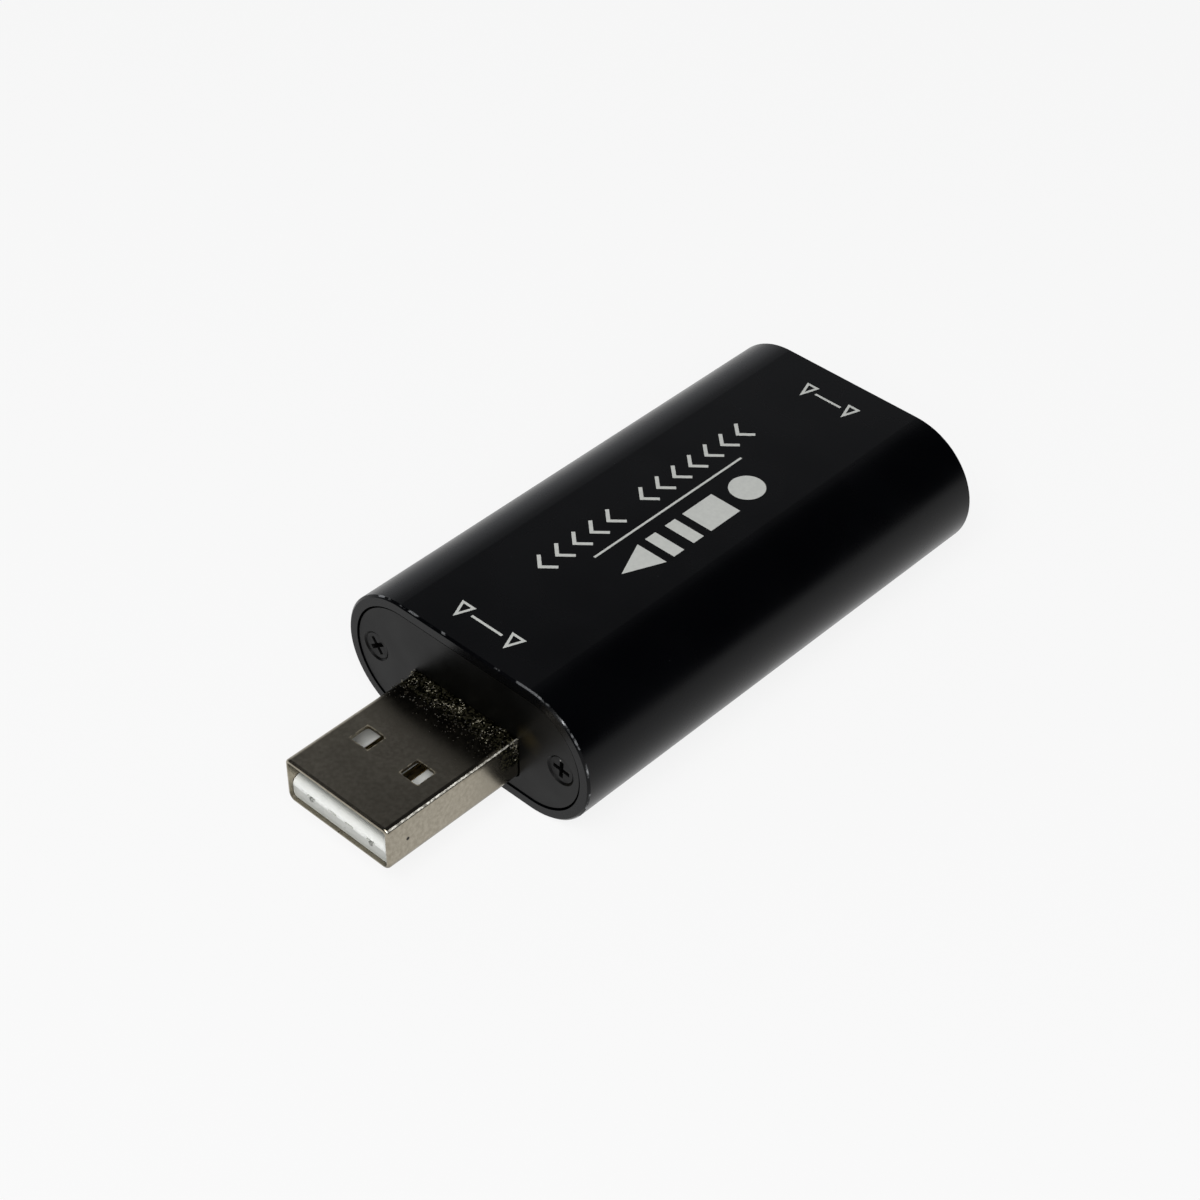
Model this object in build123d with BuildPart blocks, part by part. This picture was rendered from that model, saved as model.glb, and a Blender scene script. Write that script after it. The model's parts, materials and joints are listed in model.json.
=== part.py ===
from build123d import *
import os

os.makedirs("parts", exist_ok=True)

# Video capture box: a black aluminium stick with a USB plug at one end and a
# video socket at the other.
# Millimetres. X is the width, Y runs from the plug to the socket, Z is up.
# The origin is on the resting surface, under the middle of the whole stick.

# Case
body_width = 28.0
body_height = 13.2
sleeve_length = 49.4
sleeve_wall = 1.0
edge_break = 0.2
cut_overrun = 1.0

# End plates, let into the sleeve
plate_thickness = 1.5
plate_recess = 0.1
plate_gap = 0.2
window_gap = 0.12

# Countersunk screws, and the ports in the sleeve that take them
screw_inset = 3.25
port_radius = 1.9
port_hole_gap = 0.03
head_radius = 1.25
head_rim = 0.05
head_sink = 0.12
head_gap = 0.04
shank_radius = 0.7
shank_length = 5.2
tip_length = 0.9
tip_radius = 0.2
recess_span = 1.75
recess_slot = 0.42
recess_depth = 0.5
recess_taper = 12
right_angle = 90
output_recess_turns = (37, -4)
input_recess_turns = (18, 71)

# Circuit board and its guides
board_side_gap = 2.0
board_end_gap = 0.3
board_drop_share = 0.197
board_thickness = 1.2
board_corner = 0.5
board_grip = 1.0
board_play = 0.1
guide_thickness = 1.0

# USB type A plug
plug_reach = 14.3
plug_length = 18.8
plug_width = 12.0
plug_height = 4.5
plug_rise = 0.66
plug_sheet = 0.3
plug_top_corner = 0.5
plug_bottom_corner = 0.8
plug_mouth_round = 0.25
plug_seam = 0.08
plug_window_width = 2.1
plug_window_length = 2.0
plug_window_corner = 0.25
plug_window_offset = 2.9
plug_window_setback = 5.2
plug_notch_gap = 0.15
plug_tab_width = 1.5
plug_tab_length = 2.0
plug_tab_setback = 0.2

# The plug's insulator and contacts
insulator_play = 0.03
tongue_thickness = 1.95
tongue_setback = 0.35
tongue_nose = 0.75
plug_block_length = 7.0
plug_contact_width = 1.0
plug_contact_thickness = 0.25
plug_contact_proud = 0.05
plug_inner_contact = 1.0
plug_outer_contact = 3.5
long_contact_setback = 2.2
short_contact_setback = 3.2
nose_notch_depth = 0.15
nose_pit_radius = 0.2
nose_pit_depth = 0.4
nose_pit_drop = 1.0
plug_tail_gap = 0.3
plug_foot_length = 1.6

# Video socket, type A, of the standard opening
socket_opening_width = 14.0
socket_opening_height = 4.55
socket_slope_width = 1.85
socket_slope_height = 1.75
socket_corner = 0.35
socket_sheet = 0.3
socket_depth = 11.6
socket_mouth_break = 0.12
socket_leg_width = 1.2
socket_leg_past_board = 0.5
socket_leg_setback = 3.6
socket_leg_spacing = 5.6
socket_leg_play = 0.15
socket_port_gap = 0.15
spring_width = 1.8
spring_length = 4.6
spring_cut = 0.25
spring_offset = 3.3
spring_setback = 1.6

# The socket's insulator and contacts
socket_block_length = 3.6
socket_tongue_width = 11.0
socket_tongue_thickness = 1.2
socket_tongue_setback = 1.8
socket_tongue_break = 0.2
socket_contact_pitch = 1.0
socket_contact_width = 0.32
socket_contact_thickness = 0.2
socket_contact_proud = 0.05
socket_contact_setback = 0.5
socket_tail_gap = 0.4
socket_foot_length = 0.9
upper_contact_count = 10
lower_contact_count = 9

# Capture chip, a square package with leads on all sides
chip_side = 7.0
chip_height = 1.4
chip_edge_break = 0.2
chip_lead_count = 12
chip_lead_pitch = 0.5
chip_lead_width = 0.22
chip_place_share = 0.5

# Leads of the packages on the board
lead_reach = 1.0
lead_thickness = 0.15
lead_shoulder_share = 0.4
package_standoff = 0.1

# Memory chip, with leads on its two long sides
memory_width = 3.9
memory_length = 4.9
memory_height = 1.5
memory_lead_count = 4
memory_lead_pitch = 1.27
memory_lead_width = 0.4
memory_place_share = 0.1

# Clock crystal, a welded can on a base
crystal_width = 3.2
crystal_length = 5.0
crystal_base_height = 0.3
crystal_can_height = 0.8
crystal_can_inset = 0.25
crystal_corner = 0.5
crystal_place_share = 0.12

# Voltage regulators, three-lead packages
regulator_width = 1.4
regulator_length = 3.0
regulator_height = 1.0
regulator_lead_width = 0.4
regulator_lead_pitch = 1.9
regulator_offset_share = 0.6
regulator_place_share = 0.83

# Power inductor
inductor_side = 4.0
inductor_height = 1.8
inductor_corner = 0.9
inductor_place_share = 0.1

# Gaps before the memory chip, the inductor and the crystal, side by side
row_gap_shares = (0.22, 0.08, 0.28)

# Small ceramic capacitors and resistors
capacitor_length = 1.6
capacitor_width = 0.8
capacitor_height = 0.8
capacitor_terminal = 0.35
capacitor_rows = 4
capacitor_row_pitch = 1.7
capacitor_chip_gap = 1.2
resistor_length = 1.6
resistor_width = 0.8
resistor_height = 0.45
resistor_terminal = 0.3
resistor_count = 5
resistor_pitch = 1.5
resistor_place_share = 0.83

# Surge arrays behind the socket
array_width = 1.0
array_length = 2.4
array_height = 0.5
array_count = 4
array_pitch = 3.0
array_place_share = 0.95

# Lengths and heights that follow from the sizes above
mid_height = body_height / 2
input_end_y = (sleeve_length + plug_reach) / 2
output_end_y = input_end_y - sleeve_length
plug_tip_y = output_end_y - plug_reach
plug_rear_y = plug_tip_y + plug_length
output_face_y = output_end_y + plate_recess
input_face_y = input_end_y - plate_recess
output_seat_y = output_face_y + plate_thickness
input_seat_y = input_face_y - plate_thickness
screw_x = body_width / 2 - screw_inset
board_top_z = mid_height - board_drop_share * body_height
board_bottom_z = board_top_z - board_thickness
board_width = body_width - 2 * sleeve_wall - 2 * board_side_gap
guide_x = board_width / 2 - board_grip
board_start_y = output_seat_y + board_end_gap
board_end_y = input_seat_y - board_end_gap
plug_middle_z = board_top_z + plug_rise
plug_floor_z = plug_middle_z - plug_height / 2 + plug_sheet
tongue_top_z = plug_floor_z + tongue_thickness
socket_middle_z = board_top_z + socket_sheet + socket_opening_height / 2
socket_rear_y = input_face_y - socket_depth
parts_start_y = plug_rear_y + plug_tail_gap + plug_foot_length
parts_end_y = socket_rear_y - socket_tail_gap - socket_foot_length
package_base_z = board_top_z + package_standoff

# How what stands on the board is placed: by the middle of its underside
standing = (Align.CENTER, Align.CENTER, Align.MIN)


def section_at(y):
    """A plane across the stick at y, facing the plug, with X to the right and Z up."""
    return Plane.XZ.offset(-y)


def far_section_at(y):
    """A plane across the stick at y, facing away from the plug."""
    return Plane(origin=(0, y, 0), x_dir=(-1, 0, 0), z_dir=(0, 1, 0))


def along_board(place_share):
    """A place along the board, by a share of the stretch between the plug's tails and
    the socket's."""
    return parts_start_y + place_share * (parts_end_y - parts_start_y)


def spread_across(widths, gap_shares):
    """The middles of pieces set side by side between the board's guides. The space
    that they leave is shared out as the gap before each."""
    spare = 2 * guide_x - sum(widths)
    middles = []
    edge = -guide_x
    for width, gap_share in zip(widths, gap_shares):
        middles.append(edge + gap_share * spare + width / 2)
        edge += gap_share * spare + width
    return middles


def centred_steps(count, pitch):
    """Evenly spaced places with their middle at zero."""
    return [(step - (count - 1) / 2) * pitch for step in range(count)]


def plug_profile(plane, inset):
    """The plug's cross-section, drawn in from its outside by inset: two tight corners
    on top and two round ones below."""
    with BuildSketch(plane) as profile:
        with Locations((0, plug_middle_z)):
            Rectangle(plug_width - 2 * inset, plug_height - 2 * inset)
        fillet(profile.vertices().group_by(Axis.Y)[-1], plug_top_corner - inset)
        fillet(profile.vertices().group_by(Axis.Y)[0], plug_bottom_corner - inset)
    return profile.sketch


def socket_profile(plane, grow):
    """The socket opening's cross-section, grown by grow: full width on top, sloped in
    at both lower corners."""
    half_width = socket_opening_width / 2
    top = socket_middle_z + socket_opening_height / 2
    bottom = socket_middle_z - socket_opening_height / 2
    with BuildSketch(plane) as profile:
        with BuildLine():
            Polyline(
                (-half_width, top),
                (half_width, top),
                (half_width, bottom + socket_slope_height),
                (half_width - socket_slope_width, bottom),
                (socket_slope_width - half_width, bottom),
                (-half_width, bottom + socket_slope_height),
                close=True,
            )
        make_face()
        fillet(profile.vertices(), socket_corner)
        offset(amount=grow)
    return profile.sketch


def contact_strip(front_y, level, bend_y, way, foot, thickness, width):
    """One contact: flat along the tongue at level, down behind the block at bend_y and
    out along the board. way is the direction along Y, 1 or -1, in which it runs."""
    with BuildPart() as strip:
        with BuildSketch(Plane.YZ):
            with BuildLine():
                Polyline(
                    (front_y, level),
                    (front_y, level + thickness),
                    (bend_y + way * thickness, level + thickness),
                    (bend_y + way * thickness, board_top_z + thickness),
                    (bend_y + way * foot, board_top_z + thickness),
                    (bend_y + way * foot, board_top_z),
                    (bend_y, board_top_z),
                    (bend_y, level),
                    close=True,
                )
            make_face()
        extrude(amount=width / 2, both=True)
    return strip.part


def package_lead(root_height, width):
    """One lead of a package, rooted on its side at root_height above the board, with
    its foot on the board and pointing along X."""
    shoulder = lead_reach * lead_shoulder_share
    with BuildPart() as lead:
        with BuildSketch(Plane.XZ):
            with BuildLine():
                Polyline(
                    (0, root_height),
                    (0, root_height + lead_thickness),
                    (shoulder + lead_thickness, root_height + lead_thickness),
                    (shoulder + lead_thickness, lead_thickness),
                    (lead_reach, lead_thickness),
                    (lead_reach, 0),
                    (shoulder, 0),
                    (shoulder, root_height),
                    close=True,
                )
            make_face()
        extrude(amount=width / 2, both=True)
    return lead.part


# Sleeve: an extruded tube with a screw port and two board guides on each side, cut
# back wherever these come near the socket
with BuildPart() as sleeve:
    with BuildSketch(section_at(input_end_y)):
        with Locations((0, mid_height)):
            SlotOverall(body_width, body_height)
    extrude(amount=sleeve_length)
    chamfer(sleeve.faces().filter_by(Axis.Y).edges(), edge_break)
    with BuildSketch(section_at(input_end_y + cut_overrun)):
        with Locations((0, mid_height)):
            SlotOverall(body_width - 2 * sleeve_wall, body_height - 2 * sleeve_wall)
    extrude(amount=sleeve_length + 2 * cut_overrun, mode=Mode.SUBTRACT)
    with BuildSketch(section_at(input_seat_y)):
        with Locations((screw_x, mid_height)):
            Circle(port_radius)
            Rectangle(screw_inset, 2 * port_radius, align=(Align.MIN, Align.CENTER))
        with Locations((guide_x, board_top_z + board_play)):
            Rectangle(body_width / 2 - guide_x, guide_thickness, align=Align.MIN)
        with Locations((guide_x, board_bottom_z - board_play)):
            Rectangle(body_width / 2 - guide_x, guide_thickness, align=(Align.MIN, Align.MAX))
        mirror(about=Plane.YZ)
        with Locations((0, mid_height)):
            SlotOverall(body_width - sleeve_wall, body_height - sleeve_wall, mode=Mode.INTERSECT)
        with Locations((-screw_x, mid_height), (screw_x, mid_height)):
            Circle(shank_radius + port_hole_gap, mode=Mode.SUBTRACT)
    extrude(amount=input_seat_y - output_seat_y)
    socket_room = socket_profile(section_at(input_seat_y), socket_sheet + socket_port_gap)
    extrude(socket_room, amount=socket_depth, mode=Mode.SUBTRACT)
sleeve.part.label = "sleeve"
export_step(sleeve.part, "parts/sleeve.step")


def plate_blank(outer_plane):
    """An end plate with its two countersunk holes, and no window yet."""
    edge_inset = sleeve_wall + plate_gap
    sunk_radius = head_radius + head_rim + head_sink + head_gap
    with BuildPart(outer_plane) as blank:
        with BuildSketch(outer_plane):
            with Locations((0, mid_height)):
                SlotOverall(body_width - 2 * edge_inset, body_height - 2 * edge_inset)
        extrude(amount=-plate_thickness)
        with Locations((-screw_x, mid_height), (screw_x, mid_height)):
            CounterSinkHole(
                shank_radius + port_hole_gap, sunk_radius, counter_sink_angle=right_angle
            )
    return blank.part


# Output end plate, with the plug's window
with BuildPart() as output_end_plate:
    add(plate_blank(section_at(output_face_y)))
    window = plug_profile(section_at(output_seat_y + cut_overrun), -window_gap)
    extrude(window, amount=plate_thickness + 2 * cut_overrun, mode=Mode.SUBTRACT)
output_end_plate.part.label = "output_end_plate"
export_step(output_end_plate.part, "parts/output_end_plate.step")

# Input end plate, with the socket's window
with BuildPart() as input_end_plate:
    add(plate_blank(far_section_at(input_face_y)))
    window = socket_profile(section_at(input_face_y + cut_overrun), socket_sheet + window_gap)
    extrude(window, amount=plate_thickness + 2 * cut_overrun, mode=Mode.SUBTRACT)
input_end_plate.part.label = "input_end_plate"
export_step(input_end_plate.part, "parts/input_end_plate.step")

# One countersunk screw, pointing down, with the top of its head at zero
with BuildPart() as screw:
    with BuildSketch(Plane.XZ):
        with BuildLine():
            cone_end = -head_rim - (head_radius - shank_radius)
            Polyline(
                (0, 0),
                (head_radius, 0),
                (head_radius, -head_rim),
                (shank_radius, cone_end),
                (shank_radius, cone_end - shank_length),
                (tip_radius, cone_end - shank_length - tip_length),
                (0, cone_end - shank_length - tip_length),
                close=True,
            )
        make_face()
    revolve(axis=Axis.Z)
    with BuildSketch(Plane.XY):
        Rectangle(recess_span, recess_slot)
        Rectangle(recess_slot, recess_span)
    extrude(amount=-recess_depth, taper=recess_taper, mode=Mode.SUBTRACT)


def screw_pair(outer_plane, turns):
    """The two screws of an end plate, sunk a little into its outer face."""
    with BuildPart(outer_plane) as pair:
        for side, turn in zip((-1, 1), turns):
            with Locations(Location((side * screw_x, mid_height, -head_sink), (0, 0, turn))):
                add(screw.part)
    return pair.part


# Screws of the output end plate
with BuildPart() as output_plate_screws:
    add(screw_pair(section_at(output_face_y), output_recess_turns))
output_plate_screws.part.label = "output_plate_screws"
export_step(output_plate_screws.part, "parts/output_plate_screws.step")

# Screws of the input end plate
with BuildPart() as input_plate_screws:
    add(screw_pair(far_section_at(input_face_y), input_recess_turns))
input_plate_screws.part.label = "input_plate_screws"
export_step(input_plate_screws.part, "parts/input_plate_screws.step")

# Circuit board, notched for the plug and slotted for the socket's legs
leg_x = socket_opening_width / 2 + socket_sheet / 2
leg_places = [
    (side * leg_x, input_face_y - socket_leg_setback - row * socket_leg_spacing)
    for side in (-1, 1)
    for row in (0, 1)
]
with BuildPart() as circuit_board:
    with BuildSketch(Plane.XY.offset(board_bottom_z)):
        with Locations((0, (board_start_y + board_end_y) / 2)):
            RectangleRounded(board_width, board_end_y - board_start_y, board_corner)
        with Locations((0, plug_rear_y + plug_notch_gap)):
            Rectangle(
                plug_width + 2 * plug_notch_gap,
                plug_length,
                align=(Align.CENTER, Align.MAX),
                mode=Mode.SUBTRACT,
            )
        with Locations(*leg_places):
            Rectangle(
                socket_sheet + 2 * socket_leg_play,
                socket_leg_width + 2 * socket_leg_play,
                mode=Mode.SUBTRACT,
            )
    extrude(amount=board_thickness)
circuit_board.part.label = "circuit_board"
export_step(circuit_board.part, "parts/circuit_board.step")

# Plug shell: a folded sheet with windows, a seam below and two tabs on the board
with BuildPart() as usb_plug_shell:
    extrude(plug_profile(section_at(plug_rear_y), 0), amount=plug_length)
    mouth_face = usb_plug_shell.faces().sort_by(Axis.Y)[0]
    fillet(mouth_face.edges(), plug_mouth_round)
    bore = plug_profile(section_at(plug_rear_y + cut_overrun), plug_sheet)
    extrude(bore, amount=plug_length + 2 * cut_overrun, mode=Mode.SUBTRACT)
    window_y = plug_tip_y + plug_window_setback + plug_window_length / 2
    with BuildSketch(Plane.XY.offset(plug_middle_z)):
        with Locations((-plug_window_offset, window_y), (plug_window_offset, window_y)):
            RectangleRounded(plug_window_width, plug_window_length, plug_window_corner)
    extrude(amount=plug_height, both=True, mode=Mode.SUBTRACT)
    with Locations((0, (plug_tip_y + plug_rear_y) / 2, plug_floor_z)):
        Box(plug_seam, plug_length + cut_overrun, 2 * plug_sheet, mode=Mode.SUBTRACT)
    tab_root_x = plug_width / 2 - plug_sheet
    tab_y = plug_rear_y - plug_tab_setback
    for side, outward in ((-1, Align.MAX), (1, Align.MIN)):
        with Locations((side * tab_root_x, tab_y, board_top_z)):
            Box(
                plug_sheet + plug_tab_width,
                plug_tab_length,
                plug_sheet,
                align=(outward, Align.MAX, Align.MIN),
            )
usb_plug_shell.part.label = "usb_plug_shell"
export_step(usb_plug_shell.part, "parts/usb_plug_shell.step")

# The plug's contacts lie on top of the tongue and end on the board
plug_contact_z = tongue_top_z + plug_contact_proud - plug_contact_thickness
plug_contact_table = {
    "usb_contact_power": (-plug_outer_contact, long_contact_setback),
    "usb_contact_data_minus": (-plug_inner_contact, short_contact_setback),
    "usb_contact_data_plus": (plug_inner_contact, short_contact_setback),
    "usb_contact_ground": (plug_outer_contact, long_contact_setback),
}
for contact_name, (contact_x, setback) in plug_contact_table.items():
    with BuildPart() as usb_contact:
        with Locations((contact_x, 0, 0)):
            add(
                contact_strip(
                    plug_tip_y + setback,
                    plug_contact_z,
                    plug_rear_y + plug_tail_gap,
                    1,
                    plug_foot_length,
                    plug_contact_thickness,
                    plug_contact_width,
                )
            )
    usb_contact.part.label = contact_name
    export_step(usb_contact.part, "parts/" + contact_name + ".step")

# The plug's insulator: a block at the back and a tongue below the open space
with BuildPart() as usb_plug_insulator:
    tongue_front_y = plug_tip_y + tongue_setback
    block_front_y = plug_rear_y - plug_block_length
    core = plug_profile(section_at(plug_rear_y), plug_sheet + insulator_play)
    extrude(core, amount=plug_rear_y - tongue_front_y)
    with Locations((0, block_front_y, tongue_top_z)):
        Box(
            plug_width,
            plug_length,
            plug_height,
            align=(Align.CENTER, Align.MAX, Align.MIN),
            mode=Mode.SUBTRACT,
        )
    nose_edges = usb_plug_insulator.edges().filter_by(Axis.X).group_by(Axis.Y)[0]
    fillet(nose_edges.sort_by(Axis.Z)[-1], tongue_nose)
    for contact_x, setback in plug_contact_table.values():
        with Locations((contact_x, plug_tip_y + setback - insulator_play, plug_contact_z)):
            Box(
                plug_contact_width + 2 * insulator_play,
                plug_length,
                plug_contact_thickness + insulator_play,
                align=(Align.CENTER, Align.MIN, Align.MIN),
                mode=Mode.SUBTRACT,
            )
        with Locations((contact_x, tongue_front_y, tongue_top_z - tongue_nose)):
            Box(
                plug_contact_width,
                2 * nose_notch_depth,
                2 * nose_notch_depth,
                mode=Mode.SUBTRACT,
            )
    with BuildSketch(section_at(tongue_front_y)):
        pit_z = tongue_top_z - nose_pit_drop
        with Locations((-plug_outer_contact, pit_z), (plug_outer_contact, pit_z)):
            Circle(nose_pit_radius)
    extrude(amount=-nose_pit_depth, mode=Mode.SUBTRACT)
usb_plug_insulator.part.label = "usb_plug_insulator"
export_step(usb_plug_insulator.part, "parts/usb_plug_insulator.step")

# Socket shell: folded sheet with two spring fingers above and four legs in the board
with BuildPart() as video_socket_shell:
    extrude(socket_profile(section_at(input_face_y), socket_sheet), amount=socket_depth)
    bore = socket_profile(section_at(input_face_y + cut_overrun), 0)
    extrude(bore, amount=socket_depth + 2 * cut_overrun, mode=Mode.SUBTRACT)
    mouth_face = video_socket_shell.faces().sort_by(Axis.Y)[-1]
    chamfer(mouth_face.inner_wires()[0].edges(), socket_mouth_break)
    roof_z = socket_middle_z + socket_opening_height / 2
    finger_y = input_face_y - spring_setback
    for side in (-1, 1):
        with BuildSketch(Plane.XY.offset(roof_z - socket_sheet)):
            with Locations((side * spring_offset, finger_y)):
                Rectangle(spring_width, spring_length, align=(Align.CENTER, Align.MAX))
            with Locations((side * spring_offset, finger_y - spring_cut)):
                Rectangle(
                    spring_width - 2 * spring_cut,
                    spring_length,
                    align=(Align.CENTER, Align.MAX),
                    mode=Mode.SUBTRACT,
                )
        extrude(amount=3 * socket_sheet, mode=Mode.SUBTRACT)
    leg_length = socket_middle_z - board_bottom_z + socket_leg_past_board
    with Locations(*[(leg_place[0], leg_place[1], socket_middle_z) for leg_place in leg_places]):
        Box(
            socket_sheet,
            socket_leg_width,
            leg_length,
            align=(Align.CENTER, Align.CENTER, Align.MAX),
        )
video_socket_shell.part.label = "video_socket_shell"
export_step(video_socket_shell.part, "parts/video_socket_shell.step")

# The socket's contacts, above and below its tongue
upper_contact_z = (
    socket_middle_z + socket_tongue_thickness / 2 + socket_contact_proud - socket_contact_thickness
)
lower_contact_z = socket_middle_z - socket_tongue_thickness / 2 - socket_contact_proud
upper_contact_places = centred_steps(upper_contact_count, socket_contact_pitch)
lower_contact_places = centred_steps(lower_contact_count, socket_contact_pitch)
socket_tongue_y = input_face_y - socket_tongue_setback


def socket_contact(level):
    """One of the socket's contacts, at x zero."""
    return contact_strip(
        socket_tongue_y - socket_contact_setback,
        level,
        socket_rear_y - socket_tail_gap,
        -1,
        socket_foot_length,
        socket_contact_thickness,
        socket_contact_width,
    )


with BuildPart() as video_socket_contacts_upper:
    with Locations(*[(x, 0, 0) for x in upper_contact_places]):
        add(socket_contact(upper_contact_z))
video_socket_contacts_upper.part.label = "video_socket_contacts_upper"
export_step(video_socket_contacts_upper.part, "parts/video_socket_contacts_upper.step")

with BuildPart() as video_socket_contacts_lower:
    with Locations(*[(x, 0, 0) for x in lower_contact_places]):
        add(socket_contact(lower_contact_z))
video_socket_contacts_lower.part.label = "video_socket_contacts_lower"
export_step(video_socket_contacts_lower.part, "parts/video_socket_contacts_lower.step")

# The socket's insulator: a block that closes the back, and the tongue
with BuildPart() as video_socket_insulator:
    block = socket_profile(section_at(socket_rear_y + socket_block_length), -insulator_play)
    extrude(block, amount=socket_block_length)
    with BuildSketch(section_at(socket_tongue_y)):
        with Locations((0, socket_middle_z)):
            Rectangle(socket_tongue_width, socket_tongue_thickness)
    extrude(amount=socket_tongue_y - socket_rear_y)
    tongue_face = video_socket_insulator.faces().sort_by(Axis.Y)[-1]
    chamfer(tongue_face.edges().filter_by(Axis.X), socket_tongue_break)
    groove_y = socket_tongue_y - socket_contact_setback + insulator_play
    groove_places = [(x, groove_y, upper_contact_z) for x in upper_contact_places]
    groove_places += [(x, groove_y, lower_contact_z) for x in lower_contact_places]
    with Locations(*groove_places):
        Box(
            socket_contact_width + 2 * insulator_play,
            socket_depth,
            socket_contact_thickness + insulator_play,
            align=(Align.CENTER, Align.MAX, Align.MIN),
            mode=Mode.SUBTRACT,
        )
video_socket_insulator.part.label = "video_socket_insulator"
export_step(video_socket_insulator.part, "parts/video_socket_insulator.step")

# Capture chip
chip_y = along_board(chip_place_share)
with BuildPart() as capture_chip:
    with Locations((0, chip_y, package_base_z)):
        Box(chip_side, chip_side, chip_height, align=standing)
    chamfer(capture_chip.faces().sort_by(Axis.Z)[-1].edges(), chip_edge_break)
capture_chip.part.label = "capture_chip"
export_step(capture_chip.part, "parts/capture_chip.step")

with BuildPart() as capture_chip_leads:
    chip_lead = package_lead(chip_height / 2, chip_lead_width)
    chip_lead_steps = centred_steps(chip_lead_count, chip_lead_pitch)
    for quarter in range(4):
        with Locations(Location((0, chip_y, board_top_z), (0, 0, quarter * right_angle))):
            with Locations(*[(chip_side / 2, step) for step in chip_lead_steps]):
                add(chip_lead)
capture_chip_leads.part.label = "capture_chip_leads"
export_step(capture_chip_leads.part, "parts/capture_chip_leads.step")

# The row of memory chip, inductor and crystal
row_widths = (memory_width + 2 * lead_reach, inductor_side, crystal_width)
memory_x, inductor_x, crystal_x = spread_across(row_widths, row_gap_shares)

# Memory chip
memory_y = along_board(memory_place_share)
with BuildPart() as memory_chip:
    with Locations((memory_x, memory_y, package_base_z)):
        Box(memory_width, memory_length, memory_height, align=standing)
    chamfer(memory_chip.faces().sort_by(Axis.Z)[-1].edges(), chip_edge_break)
memory_chip.part.label = "memory_chip"
export_step(memory_chip.part, "parts/memory_chip.step")

with BuildPart() as memory_chip_leads:
    memory_lead = package_lead(memory_height / 2, memory_lead_width)
    memory_lead_steps = centred_steps(memory_lead_count, memory_lead_pitch)
    for half_turn in range(2):
        turn = 2 * half_turn * right_angle
        with Locations(Location((memory_x, memory_y, board_top_z), (0, 0, turn))):
            with Locations(*[(memory_width / 2, step) for step in memory_lead_steps]):
                add(memory_lead)
memory_chip_leads.part.label = "memory_chip_leads"
export_step(memory_chip_leads.part, "parts/memory_chip_leads.step")

# Clock crystal
crystal_y = along_board(crystal_place_share)
with BuildPart() as clock_crystal:
    with BuildSketch(Plane.XY.offset(board_top_z)):
        with Locations((crystal_x, crystal_y)):
            RectangleRounded(crystal_width, crystal_length, crystal_corner)
    extrude(amount=crystal_base_height)
    with BuildSketch(Plane.XY.offset(board_top_z + crystal_base_height)):
        with Locations((crystal_x, crystal_y)):
            RectangleRounded(
                crystal_width - 2 * crystal_can_inset,
                crystal_length - 2 * crystal_can_inset,
                crystal_corner,
            )
    extrude(amount=crystal_can_height)
    fillet(clock_crystal.faces().sort_by(Axis.Z)[-1].edges(), crystal_can_inset)
clock_crystal.part.label = "clock_crystal"
export_step(clock_crystal.part, "parts/clock_crystal.step")

# Voltage regulators
regulator_x = regulator_offset_share * board_width / 2
regulator_y = along_board(regulator_place_share)
regulator_places = [(-regulator_x, regulator_y), (regulator_x, regulator_y)]
with BuildPart() as voltage_regulators:
    with Locations(*[(x, y, package_base_z) for x, y in regulator_places]):
        Box(
            regulator_width,
            regulator_length,
            regulator_height,
            align=standing,
        )
voltage_regulators.part.label = "voltage_regulators"
export_step(voltage_regulators.part, "parts/voltage_regulators.step")

with BuildPart() as voltage_regulator_leads:
    regulator_lead = package_lead(regulator_height / 2, regulator_lead_width)
    regulator_lead_steps = centred_steps(2, regulator_lead_pitch)
    for x, y in regulator_places:
        with Locations((x, y, board_top_z)):
            with Locations((regulator_width / 2, 0)):
                add(regulator_lead)
            with Locations(Location((0, 0, 0), (0, 0, 2 * right_angle))):
                with Locations(*[(regulator_width / 2, step) for step in regulator_lead_steps]):
                    add(regulator_lead)
voltage_regulator_leads.part.label = "voltage_regulator_leads"
export_step(voltage_regulator_leads.part, "parts/voltage_regulator_leads.step")

# Power inductor
inductor_y = along_board(inductor_place_share)
with BuildPart() as power_inductor:
    with Locations((inductor_x, inductor_y, board_top_z)):
        Box(inductor_side, inductor_side, inductor_height, align=standing)
    chamfer(power_inductor.edges().filter_by(Axis.Z), inductor_corner)
power_inductor.part.label = "power_inductor"
export_step(power_inductor.part, "parts/power_inductor.step")

# Ceramic capacitors, in a row on each side of the capture chip
capacitor_x = chip_side / 2 + lead_reach + capacitor_chip_gap + capacitor_length / 2
capacitor_places = [
    (side * capacitor_x, chip_y + step)
    for side in (-1, 1)
    for step in centred_steps(capacitor_rows, capacitor_row_pitch)
]
with BuildPart() as ceramic_capacitors:
    with Locations(*[(x, y, board_top_z) for x, y in capacitor_places]):
        Box(
            capacitor_length - 2 * capacitor_terminal,
            capacitor_width,
            capacitor_height,
            align=standing,
        )
ceramic_capacitors.part.label = "ceramic_capacitors"
export_step(ceramic_capacitors.part, "parts/ceramic_capacitors.step")

with BuildPart() as capacitor_terminals:
    terminal_x = (capacitor_length - capacitor_terminal) / 2
    with Locations(*[(x, y, board_top_z) for x, y in capacitor_places]):
        with Locations((-terminal_x, 0), (terminal_x, 0)):
            Box(
                capacitor_terminal,
                capacitor_width,
                capacitor_height,
                align=standing,
            )
capacitor_terminals.part.label = "capacitor_terminals"
export_step(capacitor_terminals.part, "parts/capacitor_terminals.step")

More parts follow.
